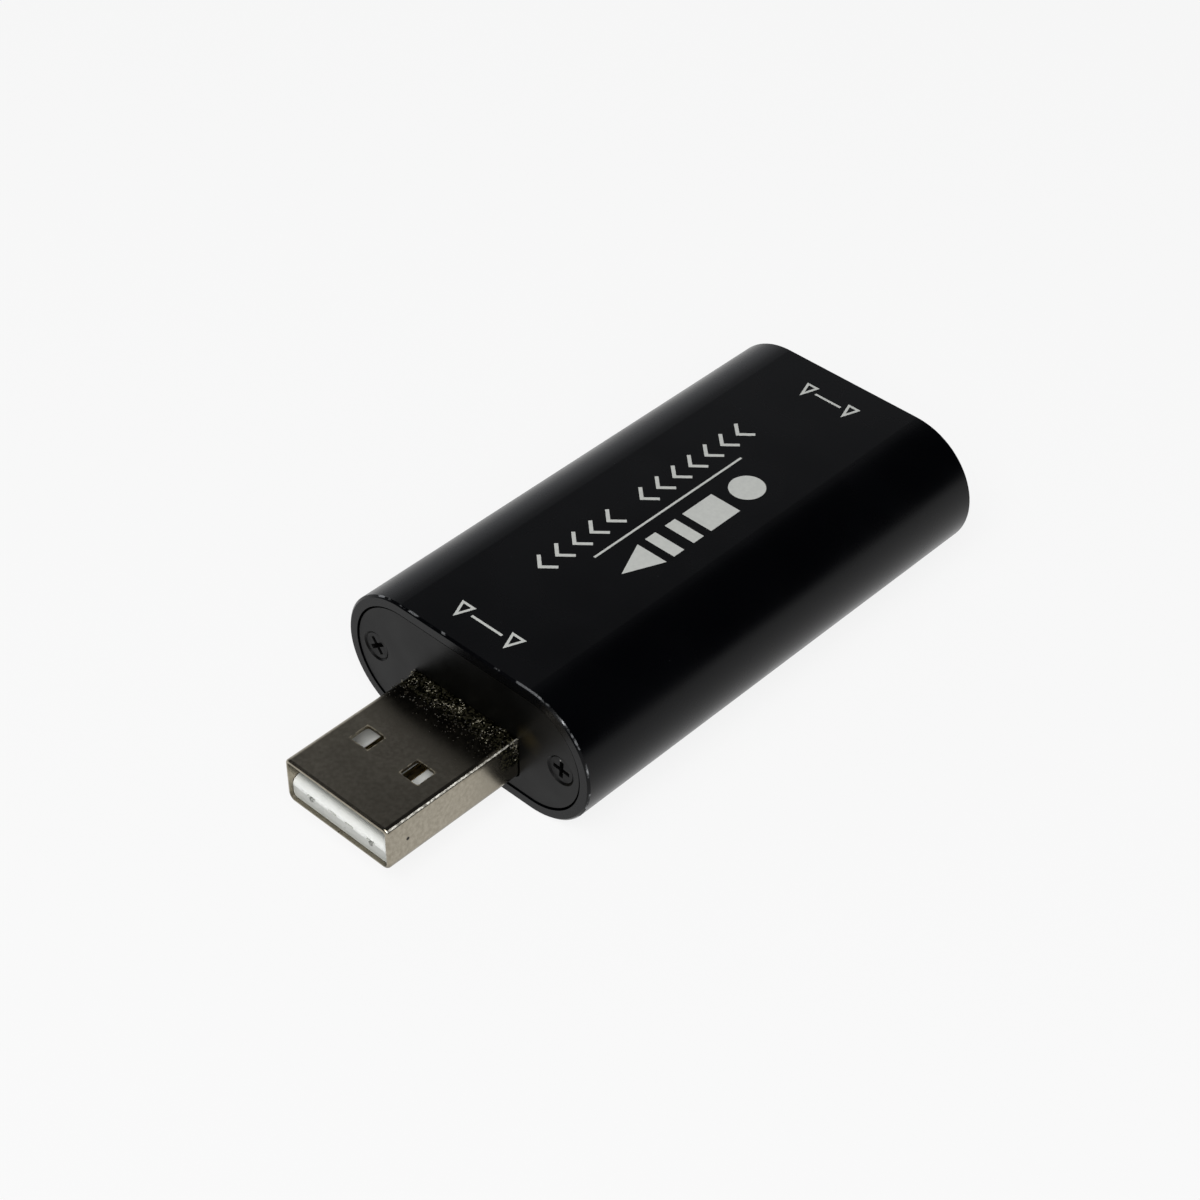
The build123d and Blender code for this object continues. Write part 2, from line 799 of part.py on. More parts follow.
# Resistors, in a row between the regulators
resistor_y = along_board(resistor_place_share)
resistor_places = [(step, resistor_y) for step in centred_steps(resistor_count, resistor_pitch)]
with BuildPart() as resistors:
    with Locations(*[(x, y, board_top_z) for x, y in resistor_places]):
        Box(
            resistor_width,
            resistor_length - 2 * resistor_terminal,
            resistor_height,
            align=standing,
        )
resistors.part.label = "resistors"
export_step(resistors.part, "parts/resistors.step")

with BuildPart() as resistor_terminals:
    terminal_y = (resistor_length - resistor_terminal) / 2
    with Locations(*[(x, y, board_top_z) for x, y in resistor_places]):
        with Locations((0, -terminal_y), (0, terminal_y)):
            Box(
                resistor_width,
                resistor_terminal,
                resistor_height,
                align=standing,
            )
resistor_terminals.part.label = "resistor_terminals"
export_step(resistor_terminals.part, "parts/resistor_terminals.step")

# Surge arrays
array_y = along_board(array_place_share)
with BuildPart() as surge_arrays:
    with Locations(*[(x, array_y, board_top_z) for x in centred_steps(array_count, array_pitch)]):
        Box(array_length, array_width, array_height, align=standing)
surge_arrays.part.label = "surge_arrays"
export_step(surge_arrays.part, "parts/surge_arrays.step")
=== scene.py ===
import json
import math
import random

import bmesh
import bpy
from mathutils import Matrix, Vector


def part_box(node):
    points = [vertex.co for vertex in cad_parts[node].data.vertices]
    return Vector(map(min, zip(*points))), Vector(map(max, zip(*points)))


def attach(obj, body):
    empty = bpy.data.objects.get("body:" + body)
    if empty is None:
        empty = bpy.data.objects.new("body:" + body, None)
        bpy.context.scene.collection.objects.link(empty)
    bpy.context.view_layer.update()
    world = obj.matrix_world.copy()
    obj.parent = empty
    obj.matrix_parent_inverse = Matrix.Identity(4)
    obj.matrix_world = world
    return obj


# Video capture box: its finishes, the marks and the glue on it, and a pale studio

# Lengths named here are in millimetres, and are turned into metres where they are used.

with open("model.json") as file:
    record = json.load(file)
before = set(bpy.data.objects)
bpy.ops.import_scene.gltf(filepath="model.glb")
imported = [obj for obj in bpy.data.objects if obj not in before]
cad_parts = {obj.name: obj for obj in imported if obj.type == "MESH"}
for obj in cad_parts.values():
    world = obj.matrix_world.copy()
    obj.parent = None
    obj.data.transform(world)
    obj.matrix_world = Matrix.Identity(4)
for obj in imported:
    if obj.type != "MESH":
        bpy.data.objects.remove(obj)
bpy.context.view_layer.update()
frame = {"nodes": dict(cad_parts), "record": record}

MM = 0.001

# The plug, in millimetres: half its width, and where its tongue lies in the shell
PLUG_HALF_WIDTH = 6.0
TONGUE_SETBACK = 0.35
TONGUE_RISE = 2.25

# Places on the object, in metres
sleeve_low, sleeve_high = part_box("sleeve")
shell_low, shell_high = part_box("usb_plug_shell")
plate_face_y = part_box("output_end_plate")[0].y
top_z = sleeve_high.z
plug_end_y = sleeve_low.y
far_end_y = sleeve_high.y
plug_tip_y = shell_low.y
plug_side_x = PLUG_HALF_WIDTH * MM
tongue_front_y = plug_tip_y + TONGUE_SETBACK * MM
tongue_high_z = shell_low.z + TONGUE_RISE * MM
section_radius = (sleeve_high.z - sleeve_low.z) / 2
section_middle_z = (sleeve_high.z + sleeve_low.z) / 2
section_reach = sleeve_high.x - section_radius


# Camera, at the photograph's viewing angle

VIEW_AZIMUTH = 43.373
VIEW_ELEVATION = 41.037
VIEW_ROLL = 0.139
VIEW_DISTANCE = 222.947
VIEW_TARGET = (-0.223, -1.274, 7.842)
LENS = 78.776
SENSOR = 36.0
CLIP_START = 10.0
CLIP_END = 10000.0


def direction(azimuth, elevation):
    """Where something stands as seen from the object: azimuth 0 is on the plug's side
    and 90 on the right, both in degrees."""
    a = math.radians(azimuth)
    e = math.radians(elevation)
    return Vector((math.sin(a) * math.cos(e), -math.cos(a) * math.cos(e), math.sin(e)))


def make_camera():
    """The camera, framed as in the photograph."""
    data = bpy.data.cameras.new("camera")
    data.sensor_width = SENSOR
    data.lens = LENS
    data.clip_start = CLIP_START * MM
    data.clip_end = CLIP_END * MM
    camera = bpy.data.objects.new("camera", data)
    bpy.context.scene.collection.objects.link(camera)
    back = direction(VIEW_AZIMUTH, VIEW_ELEVATION)
    look = (-back).to_track_quat("-Z", "Y").to_matrix().to_4x4()
    roll = Matrix.Rotation(math.radians(VIEW_ROLL), 4, "Z")
    place = (Vector(VIEW_TARGET) + back * VIEW_DISTANCE) * MM
    camera.matrix_world = Matrix.Translation(place) @ look @ roll
    bpy.context.scene.camera = camera


# Building with nodes

# The sockets for colours of a Mix node, which share their names with those for numbers
MIX_COLOUR_A = 6
MIX_COLOUR_B = 7
MIX_COLOUR_RESULT = 2

# The usual detail of a noise texture, and the levels that most of it lies between
NOISE_DETAIL = 3.0
NOISE_LOW = 0.3
NOISE_HIGH = 0.7

# The share of a dot's radius within which it is whole
DOT_CORE_SHARE = 0.6


def rgb(red, green, blue):
    return (red, green, blue, 1.0)


class Nodes:
    """The nodes of one material or world."""

    def __init__(self, tree):
        self.tree = tree

    def node(self, kind, **settings):
        made = self.tree.nodes.new(kind)
        for setting, value in settings.items():
            setattr(made, setting, value)
        return made

    def feed(self, socket, value):
        """Links a texture, or sets a number or colour, on a socket."""
        if isinstance(value, bpy.types.NodeSocket):
            self.tree.links.new(value, socket)
        else:
            socket.default_value = value

    def math(self, operation, a, b=0.0):
        made = self.node("ShaderNodeMath", operation=operation)
        self.feed(made.inputs[0], a)
        self.feed(made.inputs[1], b)
        return made.outputs[0]

    def times(self, first, *others):
        """All of them multiplied."""
        for other in others:
            first = self.math("MULTIPLY", first, other)
        return first

    def spread(self, value, low, high, to_low=0.0, to_high=1.0):
        """A smooth step as value goes from low to high."""
        made = self.node("ShaderNodeMapRange", interpolation_type="SMOOTHSTEP")
        self.feed(made.inputs["Value"], value)
        made.inputs["From Min"].default_value = low
        made.inputs["From Max"].default_value = high
        made.inputs["To Min"].default_value = to_low
        made.inputs["To Max"].default_value = to_high
        return made.outputs["Result"]


class Finish(Nodes):
    """One node material: a Principled shader and the textures that feed it. Textures
    lie in the row frame, so their sizes are real ones, in millimetres."""

    def __init__(self, name, **sockets):
        self.material = bpy.data.materials.new(name)
        self.material.use_nodes = True
        super().__init__(self.material.node_tree)
        self.shader = self.tree.nodes["Principled BSDF"]
        for socket, value in sockets.items():
            self.shader.inputs[socket.replace("_", " ")].default_value = value
        self.place = self.node("ShaderNodeTexCoord").outputs["Object"]
        self.normal = None

    def scaled_place(self, size, stretch=(1, 1, 1), shift=(0, 0, 0)):
        """The row frame divided by a texture's size, and drawn out along the axes whose
        stretch is over one."""
        made = self.node("ShaderNodeMapping")
        self.feed(made.inputs["Vector"], self.place)
        made.inputs["Location"].default_value = shift
        made.inputs["Scale"].default_value = [1 / (size * MM * part) for part in stretch]
        return made.outputs["Vector"]

    def noise(self, size, detail=NOISE_DETAIL, stretch=(1, 1, 1), shift=(0, 0, 0)):
        made = self.node("ShaderNodeTexNoise")
        self.feed(made.inputs["Vector"], self.scaled_place(size, stretch, shift))
        made.inputs["Scale"].default_value = 1.0
        made.inputs["Detail"].default_value = detail
        return made.outputs["Fac"]

    def cells(self, size, shift=(0, 0, 0)):
        """Scattered points: how far the nearest is, in texture sizes, and a random
        number for each."""
        made = self.node("ShaderNodeTexVoronoi")
        self.feed(made.inputs["Vector"], self.scaled_place(size, shift=shift))
        made.inputs["Scale"].default_value = 1.0
        parts = self.node("ShaderNodeSeparateColor")
        self.feed(parts.inputs[0], made.outputs["Color"])
        return made.outputs["Distance"], parts.outputs[0]

    def specks(self, size, radius, share, shift=(0, 0, 0)):
        """Small dots of a radius, in texture sizes, on a share of the cells."""
        away, chance = self.cells(size, shift)
        dots = self.spread(away, radius * DOT_CORE_SHARE, radius, 1.0, 0.0)
        return self.times(dots, self.math("LESS_THAN", chance, share))

    def varied(self, texture, low, high):
        """A number that goes from low to high with a noise texture."""
        return self.spread(texture, NOISE_LOW, NOISE_HIGH, low, high)

    def axis(self, name):
        parts = self.node("ShaderNodeSeparateXYZ")
        self.feed(parts.inputs[0], self.place)
        return parts.outputs[name]

    def near(self, name, level, reach):
        """One at a level of an axis, in metres, and nothing beyond a reach in millimetres."""
        away = self.math("ABSOLUTE", self.math("SUBTRACT", self.axis(name), level))
        return self.spread(away, 0.0, reach * MM, 1.0, 0.0)

    def from_point(self, point):
        """How far the surface is from a point of the row frame, in metres."""
        made = self.node("ShaderNodeVectorMath", operation="DISTANCE")
        self.feed(made.inputs[0], self.place)
        made.inputs[1].default_value = point
        return made.outputs["Value"]

    def spot(self, point, core, reach, strength=1.0):
        """A strength within core of a point, and nothing beyond reach, in millimetres."""
        return self.spread(self.from_point(point), core * MM, reach * MM, strength, 0.0)

    def out_from_core(self):
        """How far the surface is from the line between the centres of the sleeve's two
        round sides: the sleeve's outside is at its radius."""
        past = self.math("SUBTRACT", self.math("ABSOLUTE", self.axis("X")), section_reach)
        across = self.math("MAXIMUM", past, 0.0)
        above = self.math("SUBTRACT", self.axis("Z"), section_middle_z)
        squares = self.math("ADD", self.times(across, across), self.times(above, above))
        return self.math("SQRT", squares)

    def mix(self, mask, a, b):
        """Colour a where the mask is nothing, and colour b where it is one."""
        made = self.node("ShaderNodeMix", data_type="RGBA")
        self.feed(made.inputs["Factor"], mask)
        self.feed(made.inputs[MIX_COLOUR_A], a)
        self.feed(made.inputs[MIX_COLOUR_B], b)
        return made.outputs[MIX_COLOUR_RESULT]

    def colour(self, value):
        self.feed(self.shader.inputs["Base Color"], value)

    def roughness(self, value):
        self.feed(self.shader.inputs["Roughness"], value)

    def metallic(self, value):
        self.feed(self.shader.inputs["Metallic"], value)

    def bump(self, height, depth):
        """Adds relief of a depth in millimetres."""
        made = self.node("ShaderNodeBump")
        made.inputs["Distance"].default_value = depth * MM
        self.feed(made.inputs["Height"], height)
        if self.normal is not None:
            self.feed(made.inputs["Normal"], self.normal)
        self.normal = made.outputs["Normal"]
        self.feed(self.shader.inputs["Normal"], self.normal)


# Finishes of the case

# Bare metal on the sleeve's edges, rubbed bare and partly a painted highlight: how far in
# from the end its middle is, how far it reaches to each side of that, and between which depths
# below the outside it sets in
EDGE_WEAR_AND_HIGHLIGHT_MIDDLE = 0.16
EDGE_WEAR_AND_HIGHLIGHT_REACH = 0.11
EDGE_WEAR_AND_HIGHLIGHT_DEPTHS = (0.14, 0.06)

# Where the noise of its stretches lies, and between which levels of noise the metal
# sets in, for the stretches and for the grit in them
EDGE_WEAR_AND_HIGHLIGHT_SHIFT = (3.1, 0.4, 1.7)
EDGE_WEAR_AND_HIGHLIGHT_STRETCHES = (0.52, 0.64)
EDGE_WEAR_AND_HIGHLIGHT_GRIT = (0.26, 0.46)

# The brown stain on the plate: its middle, where it is whole, how far it reaches, how
# far its edge strays and how strong it is
STAIN_X = 7.3
STAIN_HEIGHT = 7.7
STAIN_CORE = 0.5
STAIN_REACH = 2.3
STAIN_STRAY = 1.2
STAIN_STRENGTH = 0.8

DUST_STRENGTH = 0.5
PLATE_DUST_SHIFT = (2.0, 5.0, 1.0)

# The levels of noise between which a screw is rubbed bare, in spots that also serve as painted
# glints
SCREW_RUB_AND_GLINT_LEVELS = (0.70, 0.75)


def worn_edge_and_highlight(finish):
    """Bare metal in ragged stretches along the outer edges of the sleeve's two ends, which also
    serve as a painted highlight on those edges.
    """
    at_ends = finish.math(
        "MAXIMUM",
        finish.near("Y", plug_end_y + EDGE_WEAR_AND_HIGHLIGHT_MIDDLE * MM, EDGE_WEAR_AND_HIGHLIGHT_REACH),
        finish.near("Y", far_end_y - EDGE_WEAR_AND_HIGHLIGHT_MIDDLE * MM, EDGE_WEAR_AND_HIGHLIGHT_REACH),
    )
    levels = [section_radius - depth * MM for depth in EDGE_WEAR_AND_HIGHLIGHT_DEPTHS]
    outside = finish.spread(finish.out_from_core(), *levels)
    patches = finish.noise(size=1.7, shift=EDGE_WEAR_AND_HIGHLIGHT_SHIFT)
    stretches = finish.spread(patches, *EDGE_WEAR_AND_HIGHLIGHT_STRETCHES)
    grit = finish.spread(finish.noise(size=0.22, detail=2.0), *EDGE_WEAR_AND_HIGHLIGHT_GRIT)
    return finish.times(at_ends, outside, finish.times(stretches, grit))


def anodised_black():
    """Black anodised aluminium: satin, faintly blue, drawn lengthwise, with dust."""
    finish = Finish("anodised_black", Specular_IOR_Level=0.155)
    cloud = finish.noise(size=7.0)
    grain = finish.noise(size=0.07, detail=2.0)
    drawn = finish.noise(size=0.12, detail=2.0, stretch=(1, 60, 1))
    tone = finish.mix(cloud, rgb(0.0003, 0.0004, 0.0007), rgb(0.0006, 0.0007, 0.0012))
    dust = finish.times(finish.specks(size=1.3, radius=0.030, share=0.30), DUST_STRENGTH)
    tone = finish.mix(dust, tone, rgb(0.060, 0.064, 0.070))
    # Bare metal on the end edges: rubbed bare, and also a painted highlight
    wear_and_highlight = worn_edge_and_highlight(finish)
    finish.colour(finish.mix(wear_and_highlight, tone, rgb(0.38, 0.39, 0.40)))
    finish.metallic(wear_and_highlight)
    finish.roughness(finish.varied(cloud, 0.23, 0.29))
    finish.bump(grain, depth=0.0016)
    finish.bump(drawn, depth=0.0008)
    return finish.material


def plate_black():
    """The end plates' black: a shade greyer and flatter than the sleeve's, with a
    brown stain by the plug's upper corner."""
    finish = Finish("plate_black", Specular_IOR_Level=0.15)
    cloud = finish.noise(size=3.5)
    tone = finish.mix(cloud, rgb(0.0005, 0.0005, 0.0005), rgb(0.0010, 0.0010, 0.0010))
    specks = finish.specks(size=0.9, radius=0.04, share=0.3, shift=PLATE_DUST_SHIFT)
    dust = finish.times(specks, DUST_STRENGTH)
    tone = finish.mix(dust, tone, rgb(0.08, 0.08, 0.08))
    away = finish.from_point((STAIN_X * MM, plate_face_y, STAIN_HEIGHT * MM))
    stray = finish.times(finish.noise(size=1.1), STAIN_STRAY * MM)
    smear = finish.math("ADD", away, stray)
    stain = finish.spread(smear, STAIN_CORE * MM, STAIN_REACH * MM, STAIN_STRENGTH, 0.0)
    finish.colour(finish.mix(stain, tone, rgb(0.018, 0.0135, 0.0055)))
    finish.roughness(finish.varied(cloud, 0.34, 0.42))
    finish.bump(finish.noise(size=0.09), depth=0.003)
    return finish.material


def screw_black():
    """Black plated steel, rubbed in spots where a driver has been, spots which also serve as
    painted glints.
    """
    finish = Finish("screw_black", Specular_IOR_Level=0.12)
    patches = finish.noise(size=0.45)
    rubbed = finish.spread(patches, *SCREW_RUB_AND_GLINT_LEVELS)
    tone = finish.mix(patches, rgb(0.0007, 0.0007, 0.0007), rgb(0.0016, 0.0016, 0.0017))
    # Rubbed bare spots, which also serve as painted glints
    finish.colour(finish.mix(rubbed, tone, rgb(0.26, 0.25, 0.24)))
    finish.metallic(rubbed)
    finish.roughness(finish.varied(patches, 0.42, 0.32))
    finish.bump(finish.noise(size=0.08, detail=2.0), depth=0.004)
    return finish.material


# Finishes of the plug and the socket

# Old glue on the plug: where it is whole and how far it reaches from the plate, how
# high above the shell's underside it sets in, and over which height
GLUE_FULL = 0.3
GLUE_REACH = 3.4
GLUE_LOW = 1.2
GLUE_RISE = 1.6

# The size of its grains, where its ragged noise lies, how much its cover and that noise
# count, and between which sums of all three it sets in
GLUE_GRAIN = 0.16
GLUE_SHIFT = (0.7, 2.2, 0.0)
GLUE_COVER = 1.25
GLUE_RAGGED = 0.5
GLUE_LEVELS = (1.12, 1.42)

# How much of it stays on the upper edge, which is rubbed and painted with a highlight, over
# which levels of that edge it goes, and over which random numbers its grains turn pale
GLUE_ON_UPPER_EDGE = 0.3
GLUE_UPPER_EDGE_LEVELS = (0.2, 1.0)
GLUE_PALE_LEVELS = (0.35, 1.0)

# Painted shade on the plug towards its root, strongest on its top, and weaker where the
# mottling is low
ROOT_SHADE_FULL = 2.0
ROOT_SHADE_REACH = 7.0
ROOT_SHADE_STRENGTH = 0.85
ROOT_SHADE_SIDE_SHARE = 0.35
ROOT_SHADE_TOP_DEPTHS = (0.25, 0.05)
ROOT_SHADE_WEAK_SHARE = 0.4
ROOT_SHADE_STRONG_LEVEL = 0.8

# Painted shade on the shell's lower corners
LOW_SHADE_REACH = 0.95
LOW_SHADE_X = 5.0
LOW_SHADE_FADE = 0.5
LOW_SHADE_STRENGTH = 0.75

# The windows in the shell's top, and the painted highlight round them
WINDOW_MIDDLE_X = 2.9
WINDOW_WIDTH = 2.1
WINDOW_LENGTH = 2.0
WINDOW_SETBACK = 5.2
WINDOW_EDGE_WIDTH = 0.11
WINDOW_EDGE_CORE_SHARE = 0.3
WINDOW_EDGE_DEPTH = 0.05
WINDOW_EDGE_LEVELS = (0.30, 0.80)
WINDOW_EDGE_STRENGTHS = (0.1, 0.6)

# The upper edge on the shell's right, rubbed and painted with a highlight, and a small dark dot
# on that side
UPPER_EDGE_INSET = 0.14
UPPER_EDGE_REACH = 0.13
UPPER_EDGE_LEVELS = (0.05, 0.55)
UPPER_EDGE_WEAR_AND_HIGHLIGHT_LEVELS = (0.36, 0.60)
UPPER_EDGE_DULL_SHARE = 0.45
SIDE_DOT_SETBACK = 2.1
SIDE_DOT_RISE = 2.3
SIDE_DOT_RADIUS = 0.20

# How strong the dust is, how much of its metallic look the steel loses where it is rubbed and
# where a highlight is painted, how rough the steel is between two levels of its cloud, and how
# rough those places and the glue are
PLUG_DUST_STRENGTH = 0.20
WORN_AND_HIGHLIT_LOSES_METAL = 0.85
STEEL_CLOUD_LEVELS = (0.3, 0.75)
STEEL_ROUGHNESS = (0.19, 0.25)
WORN_AND_HIGHLIT_ROUGHNESS = 0.55
GLUE_ROUGHNESS = 0.42

# The tongue: how far its rounded nose reaches down, how much the edge of the painted shade on
# the face below it waves, between which heights above that face it turns white, the painted
# shade inside the mouth, and its two pits, with how far round them and how strongly it is
# darker
NOSE_ROUND = 0.75
FACE_WAVE = 0.5
FACE_SHIFT = (0.3, 0.0, 0.6)
FACE_EDGE = (0.10, 0.32)
MOUTH_SHADE_SETBACK = 1.35
MOUTH_SHADE_REACH = 1.35
PIT_SPREAD = 3.5
PIT_DROP = 1.0
PIT_RADIUS = 0.2
PIT_DARK_WIDTH = 0.12
PIT_DARK_STRENGTH = 0.6


def painted_shade_low_corners(finish):
    """Painted shade on the shell's two lower corners, which darkens them."""
    across = finish.math("ABSOLUTE", finish.axis("X"))
    outward = finish.spread(across, LOW_SHADE_X * MM, (LOW_SHADE_X + LOW_SHADE_FADE) * MM)
    low = finish.near("Z", shell_low.z, LOW_SHADE_REACH)
    return finish.times(low, outward, LOW_SHADE_STRENGTH)


def side_dark_dot(finish):
    """A small dark dot on the shell's right side."""
    place = (
        plug_side_x,
        plug_tip_y + SIDE_DOT_SETBACK * MM,
        shell_low.z + SIDE_DOT_RISE * MM,
    )
    return finish.spot(place, SIDE_DOT_RADIUS * DOT_CORE_SHARE, SIDE_DOT_RADIUS)


def rubbed_and_highlit_upper_edge(finish):
    """The shell's upper right edge in stretches: rubbed, and partly a painted highlight."""
    corner = finish.times(
        finish.near("Z", shell_high.z - UPPER_EDGE_INSET * MM, UPPER_EDGE_REACH),
        finish.near("X", plug_side_x - UPPER_EDGE_INSET * MM, UPPER_EDGE_REACH),
    )
    patches = finish.noise(size=0.30)
    rubbed = finish.spread(patches, *UPPER_EDGE_WEAR_AND_HIGHLIGHT_LEVELS, to_low=UPPER_EDGE_DULL_SHARE)
    return finish.times(finish.spread(corner, *UPPER_EDGE_LEVELS), rubbed)


def painted_window_highlight(finish, mottle):
    """A painted highlight: a pale line round the two windows in the plug's top."""
    across = finish.math("ABSOLUTE", finish.axis("X"))
    along = finish.math("SUBTRACT", finish.axis("Y"), plug_tip_y + WINDOW_SETBACK * MM)
    sides = (
        (finish.math("SUBTRACT", across, WINDOW_MIDDLE_X * MM), WINDOW_WIDTH),
        (finish.math("SUBTRACT", along, WINDOW_LENGTH / 2 * MM), WINDOW_LENGTH),
    )
    past = [
        finish.math("SUBTRACT", finish.math("ABSOLUTE", away), size / 2 * MM)
        for away, size in sides
    ]
    outside = finish.math("MAXIMUM", *past)
    core = WINDOW_EDGE_WIDTH * WINDOW_EDGE_CORE_SHARE
    line = finish.spread(outside, core * MM, WINDOW_EDGE_WIDTH * MM, 1.0, 0.0)
    high = finish.math("GREATER_THAN", finish.axis("Z"), shell_high.z - WINDOW_EDGE_DEPTH * MM)
    patchy = finish.spread(mottle, *WINDOW_EDGE_LEVELS, *WINDOW_EDGE_STRENGTHS)
    return finish.times(line, high, patchy)


def painted_root_shade(finish, mottle):
    """Painted shade that fades out from the plate towards the plug's tip."""
    from_plate = finish.math("SUBTRACT", plate_face_y, finish.axis("Y"))
    fade = finish.spread(from_plate, ROOT_SHADE_FULL * MM, ROOT_SHADE_REACH * MM, ROOT_SHADE_STRENGTH, 0.0)
    levels = [shell_high.z - depth * MM for depth in ROOT_SHADE_TOP_DEPTHS]
    high = finish.spread(finish.axis("Z"), *levels, to_low=ROOT_SHADE_SIDE_SHARE)
    patchy = finish.spread(mottle, 0.0, ROOT_SHADE_STRONG_LEVEL, to_low=ROOT_SHADE_WEAK_SHARE)
    return finish.times(fade, high, patchy)


def glue_cover(finish):
    """Where old glue stays on the plug beside the end plate: all over at the plate, and
    in fewer and fewer grains further out."""
    away = finish.math("ABSOLUTE", finish.math("SUBTRACT", finish.axis("Y"), plate_face_y))
    fade = finish.spread(away, GLUE_FULL * MM, GLUE_REACH * MM, 1.0, 0.0)
    low = shell_low.z + GLUE_LOW * MM
    risen = finish.spread(finish.axis("Z"), low, low + GLUE_RISE * MM)
    ragged = finish.noise(size=0.9, detail=2.0, shift=GLUE_SHIFT)
    grains = finish.noise(size=GLUE_GRAIN)
    texture = finish.math("ADD", finish.times(ragged, GLUE_RAGGED), grains)
    level = finish.math("ADD", finish.times(fade, risen, GLUE_COVER), texture)
    return finish.spread(level, *GLUE_LEVELS)


def plug_steel():
    """Bright plated sheet, warm in tone: fine mottling and scuffs, painted shade on its lower
    corners, an upper edge rubbed and painted with a highlight, a painted highlight round its
    windows, a small dark dot in its side, and painted shade and old glue towards its root."""
    finish = Finish("plug_steel")
    cloud = finish.noise(size=2.8)
    mottle = finish.spread(finish.noise(size=0.40, detail=4.0), NOISE_LOW, NOISE_HIGH)
    scuffs = finish.noise(size=0.05, stretch=(1, 30, 1))
    metal = finish.mix(mottle, rgb(0.280, 0.251, 0.197), rgb(0.356, 0.323, 0.258))
    # Painted shade: the lower corners darkened
    metal = finish.mix(painted_shade_low_corners(finish), metal, rgb(0.026, 0.023, 0.016))
    # A small dark dot on the right side
    metal = finish.mix(side_dark_dot(finish), metal, rgb(0.006, 0.005, 0.004))
    specks = finish.specks(size=0.60, radius=0.08, share=0.30)
    dust = finish.times(specks, PLUG_DUST_STRENGTH)
    metal = finish.mix(dust, metal, rgb(0.50, 0.48, 0.42))
    # The upper right edge: rubbed, and painted with a highlight near white
    edge = rubbed_and_highlit_upper_edge(finish)
    metal = finish.mix(edge, metal, rgb(0.88, 0.86, 0.78))
    # Painted highlight round the windows
    window_highlight = painted_window_highlight(finish, mottle)
    metal = finish.mix(window_highlight, metal, rgb(0.22, 0.19, 0.12))
    # Painted shade towards the plug's root
    metal = finish.mix(painted_root_shade(finish, mottle), metal, rgb(0.050, 0.044, 0.030))
    left_on_edge = finish.spread(edge, *GLUE_UPPER_EDGE_LEVELS, to_low=1.0, to_high=GLUE_ON_UPPER_EDGE)
    glue = finish.times(glue_cover(finish), left_on_edge)
    grains = finish.spread(finish.cells(GLUE_GRAIN)[1], *GLUE_PALE_LEVELS)
    stain = finish.mix(grains, rgb(0.0040, 0.0038, 0.0020), rgb(0.1500, 0.1400, 0.0820))
    finish.colour(finish.mix(glue, metal, stain))
    # Rubbed places and painted highlights lose their metallic look
    worn_and_highlit = finish.math("MAXIMUM", edge, window_highlight)
    finish.metallic(finish.math("SUBTRACT", 1.0, finish.times(worn_and_highlit, WORN_AND_HIGHLIT_LOSES_METAL)))
    dull = finish.spread(cloud, *STEEL_CLOUD_LEVELS, *STEEL_ROUGHNESS)
    worn_and_highlit_roughness = finish.times(worn_and_highlit, WORN_AND_HIGHLIT_ROUGHNESS)
    glue_roughness = finish.times(glue, GLUE_ROUGHNESS)
    matt = finish.math("MAXIMUM", worn_and_highlit_roughness, glue_roughness)
    finish.roughness(finish.math("MAXIMUM", dull, matt))
    finish.bump(scuffs, depth=0.0004)
    finish.bump(mottle, depth=0.0004)
    return finish.material


def white_plastic():
    """The plug's white nylon: whitest on the nose of its tongue, with painted shade on the face
    below it and inside the mouth, and darker in and round its two pits."""
    finish = Finish("white_plastic")
    cloud = finish.noise(size=1.5)
    plastic = finish.mix(cloud, rgb(0.76, 0.77, 0.74), rgb(0.84, 0.85, 0.82))
    wave = finish.times(finish.noise(size=1.1, shift=FACE_SHIFT), FACE_WAVE * MM)
    height = finish.math("ADD", finish.axis("Z"), wave)
    face_top = tongue_high_z - NOSE_ROUND * MM
    levels = [face_top + rise * MM for rise in FACE_EDGE]
    # Painted shade: the face below the nose greyer
    below = finish.spread(height, *levels, to_low=1.0, to_high=0.0)
    plastic = finish.mix(below, plastic, rgb(0.50, 0.51, 0.48))
    inside = finish.near("Y", tongue_front_y + MOUTH_SHADE_SETBACK * MM, MOUTH_SHADE_REACH)
    plastic = finish.mix(inside, plastic, rgb(0.11, 0.12, 0.10))
    for side in (-1, 1):
        place = (side * PIT_SPREAD * MM, tongue_front_y, tongue_high_z - PIT_DROP * MM)
        # Darker in and round each pit
        pit_darkening = finish.spot(place, PIT_RADIUS, PIT_RADIUS + PIT_DARK_WIDTH, PIT_DARK_STRENGTH)
        plastic = finish.mix(pit_darkening, plastic, rgb(0.10, 0.10, 0.09))
    finish.colour(plastic)
    finish.roughness(finish.varied(cloud, 0.26, 0.36))
    finish.bump(finish.noise(size=0.30), depth=0.003)
    return finish.material


def socket_steel():
    """The socket's plated sheet, cleaner than the plug's."""
    finish = Finish("socket_steel", Metallic=1.0)
    cloud = finish.noise(size=1.8)
    finish.colour(finish.mix(cloud, rgb(0.46, 0.44, 0.40), rgb(0.58, 0.56, 0.52)))
    finish.roughness(finish.varied(cloud, 0.20, 0.32))
    finish.bump(finish.noise(size=0.06, detail=2.0, stretch=(1, 25, 1)), depth=0.001)
    return finish.material


def contact_metal():
    """Thin gold over nickel, rubbed pale along the middle of each contact."""
    finish = Finish("contact_metal", Metallic=1.0)
    rub = finish.noise(size=0.25, stretch=(1, 12, 1))
    finish.colour(finish.mix(rub, rgb(0.42, 0.30, 0.12), rgb(0.66, 0.54, 0.30)))
    finish.roughness(finish.varied(rub, 0.22, 0.36))
    finish.bump(rub, depth=0.002)
    return finish.material


# Finishes of the board and what is on it

MOULDED_ROUGHNESS_RANGE = 0.10

